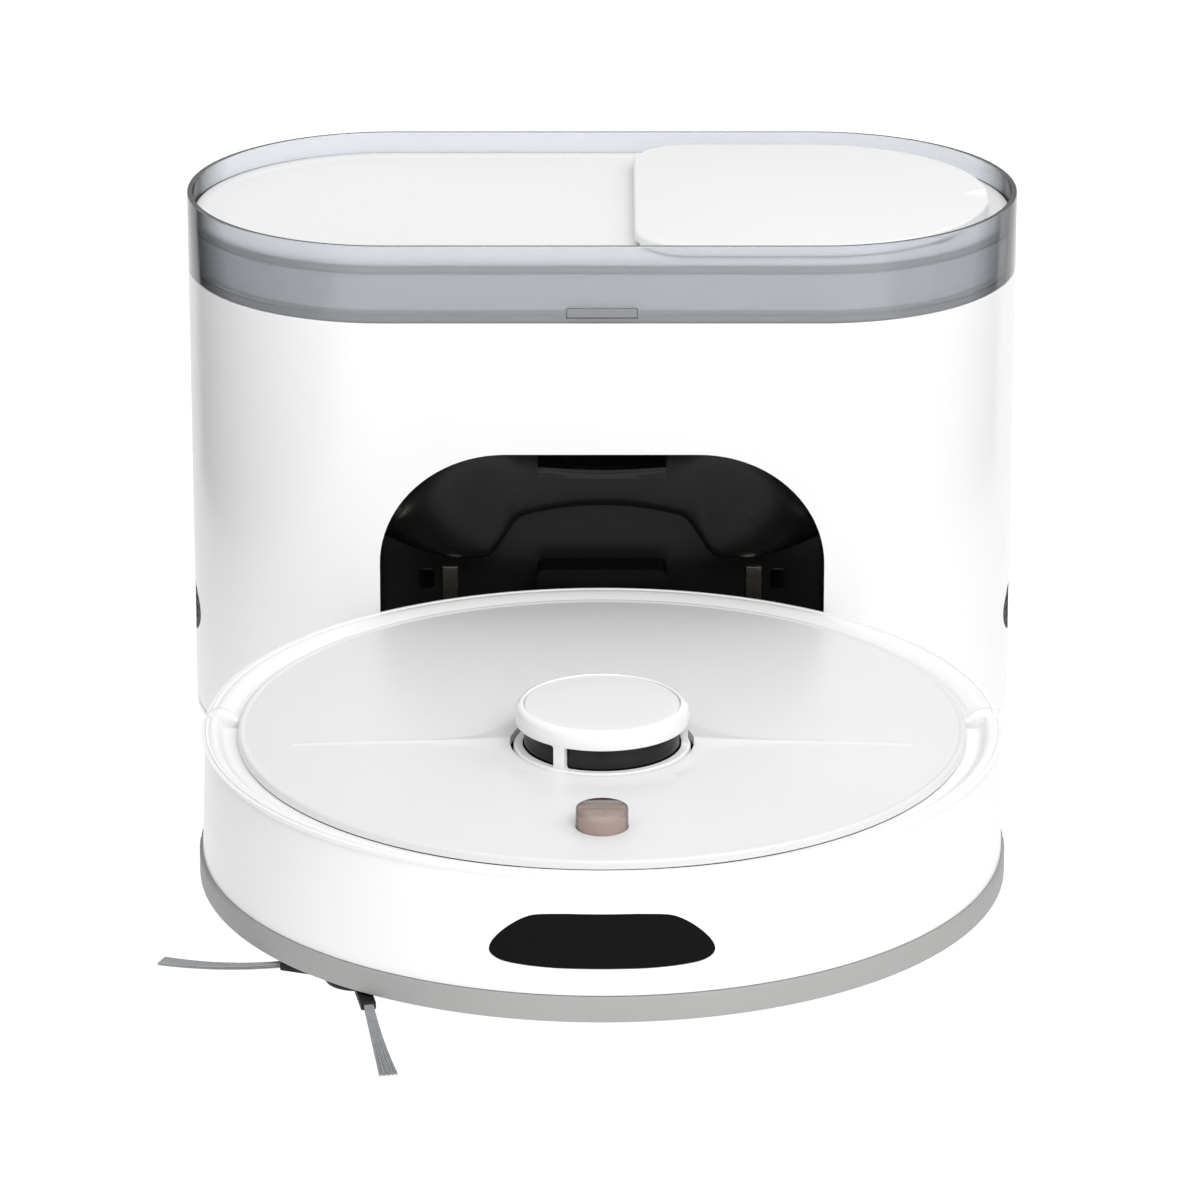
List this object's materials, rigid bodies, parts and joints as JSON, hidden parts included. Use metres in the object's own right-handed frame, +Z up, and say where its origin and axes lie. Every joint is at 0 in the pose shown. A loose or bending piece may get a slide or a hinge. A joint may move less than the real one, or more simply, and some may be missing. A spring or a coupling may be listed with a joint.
{
  "type": "robot vacuum",
  "caption": "Round robot vacuum with a lidar turret and a side brush, docked in a tall self-emptying station with a smoked dust container and a lift-up flap.",
  "frame": {"origin": "centre of the station's underside, on the floor", "axes": "+Z up; +Y from the robot through the station, towards the wall; +X to the right as one faces the robot's front and the station"},
  "size_m": [0.3784, 0.5346, 0.2469],
  "materials": {
    "white_abs": "gloss, moulded",
    "white_satin": "satin, moulded",
    "satin_light_grey": "satin light grey, fine texture",
    "grey_abs": "fine texture",
    "black_gloss": "high gloss",
    "black_matte": "fine texture",
    "smoked_clear": "smoked clear, polished",
    "rubber": "moulded rubber",
    "spring_steel": "bright nickel plated",
    "bright_steel": "bright drawn steel",
    "circuit_board": "green solder mask",
    "battery_wrap": "shrink wrap",
    "filter_paper": "pleated paper",
    "rose_clear": "rose tinted clear",
    "bristle": "nylon bristle"
  },
  "bodies": {
    "station": {"station_base": "white_abs", "rubber_foot_front": "rubber", "rubber_foot_rear": "rubber", "station_shell": "white_abs", "dock_liner": "black_gloss", "port_gasket": "rubber", "contact_strip_left": "spring_steel", "contact_strip_right": "spring_steel", "suction_duct": "grey_abs", "container_seat": "grey_abs", "fan_housing": "grey_abs", "station_motor": "bright_steel", "power_board": "circuit_board", "power_inlet": "black_matte", "vent_grille_left": "black_gloss", "vent_grille_right": "black_gloss"},
    "station_fan": {"station_fan_wheel": "black_matte"},
    "container": {"dust_container": "smoked_clear", "status_light": "grey_abs", "container_deck": "white_abs", "flap_hinge_pin": "bright_steel", "container_filter": "filter_paper"},
    "flap": {"deck_flap": "white_satin"},
    "robot": {"chassis_base": "black_matte", "rear_shell": "white_abs", "rear_strip": "grey_abs", "top_cover": "satin_light_grey", "upper_deck": "black_matte", "lidar_guard": "white_abs", "lidar_cap_inlay": "satin_light_grey", "lidar_motor": "bright_steel", "battery": "battery_wrap", "main_board": "circuit_board", "dust_bin": "smoked_clear", "bin_filter": "filter_paper", "robot_fan_housing": "grey_abs", "brush_cover": "grey_abs", "brush_gearbox": "grey_abs", "side_brush_motor": "grey_abs", "charging_pad_left": "spring_steel", "charging_pad_right": "spring_steel"},
    "robot_fan": {"robot_fan_wheel": "black_matte"},
    "bumper": {"bumper": "white_abs", "bumper_strip": "grey_abs", "bumper_window": "black_gloss"},
    "lidar": {"lidar_rotor": "black_gloss"},
    "power_button": {"power_button": "rose_clear"},
    "main_brush": {"main_brush": "rubber"},
    "caster": {"caster_fork": "black_matte"},
    "caster_wheel": {"caster_wheel": "black_matte"},
    "side_brush": {"side_brush_hub": "black_matte", "side_bristles_1": "bristle", "side_bristles_2": "bristle", "side_bristles_3": "bristle"},
    "arm_left": {"wheel_arm_left": "grey_abs"},
    "arm_right": {"wheel_arm_right": "grey_abs"},
    "wheel_left": {"wheel_rim_left": "grey_abs", "wheel_tyre_left": "rubber"},
    "wheel_right": {"wheel_rim_right": "grey_abs", "wheel_tyre_right": "rubber"}
  },
  "joints": [
    {"name": "container_lift", "type": "slide", "parent": "station", "child": "container", "axis": [0, 0, 1], "range_m": [0, 0.09]},
    {"name": "flap_hinge", "type": "hinge", "parent": "container", "child": "flap", "pos_m": [0.0169, 0, 0.2404], "axis": [0, -1, 0], "range_deg": [0, 90]},
    {"name": "station_fan_spin", "type": "hinge", "parent": "station", "child": "station_fan", "pos_m": [0.138, 0, 0.13], "axis": [0, 0, 1], "continuous": true},
    {"name": "robot_drive", "type": "slide", "parent": "station", "child": "robot", "axis": [0, -1, 0], "range_m": [0, 0.35]},
    {"name": "bumper_press", "type": "slide", "parent": "robot", "child": "bumper", "axis": [0, 1, 0], "range_m": [0, 0.004], "stiffness_N_per_m": 400, "springref_m": -0.004},
    {"name": "lidar_spin", "type": "hinge", "parent": "robot", "child": "lidar", "pos_m": [0, -0.2662, 0.084], "axis": [0, 0, 1], "continuous": true},
    {"name": "power_press", "type": "slide", "parent": "robot", "child": "power_button", "axis": [0, 0, -1], "range_m": [0, 0.0015], "stiffness_N_per_m": 900, "springref_m": -0.001},
    {"name": "main_brush_spin", "type": "hinge", "parent": "robot", "child": "main_brush", "pos_m": [0, -0.1922, 0.02], "axis": [1, 0, 0], "continuous": true},
    {"name": "side_brush_spin", "type": "hinge", "parent": "robot", "child": "side_brush", "pos_m": [-0.103, -0.3537, 0.008], "axis": [0, 0, 1], "continuous": true, "deforming": ["side_bristles_1", "side_bristles_2", "side_bristles_3"]},
    {"name": "robot_fan_spin", "type": "hinge", "parent": "robot", "child": "robot_fan", "pos_m": [0.084, -0.1382, 0.03], "axis": [0, 0, 1], "continuous": true},
    {"name": "caster_swivel", "type": "hinge", "parent": "robot", "child": "caster", "pos_m": [0, -0.3582, 0.04], "axis": [0, 0, 1], "continuous": true},
    {"name": "caster_roll", "type": "hinge", "parent": "caster", "child": "caster_wheel", "pos_m": [0, -0.3632, 0.013], "axis": [1, 0, 0], "continuous": true},
    {"name": "wheel_drop_left", "type": "hinge", "parent": "robot", "child": "arm_left", "pos_m": [-0.09475, -0.2632, 0.033], "axis": [-1, 0, 0], "range_deg": [-4, 22], "stiffness_Nm_per_rad": 0.5, "springref_deg": 28.65},
    {"name": "wheel_spin_left", "type": "hinge", "parent": "arm_left", "child": "wheel_left", "pos_m": [-0.115, -0.2362, 0.0325], "axis": [1, 0, 0], "continuous": true},
    {"name": "wheel_drop_right", "type": "hinge", "parent": "robot", "child": "arm_right", "pos_m": [0.09475, -0.2632, 0.033], "axis": [-1, 0, 0], "range_deg": [-4, 22], "stiffness_Nm_per_rad": 0.5, "springref_deg": 28.65},
    {"name": "wheel_spin_right", "type": "hinge", "parent": "arm_right", "child": "wheel_right", "pos_m": [0.115, -0.2362, 0.0325], "axis": [1, 0, 0], "continuous": true}
  ]
}
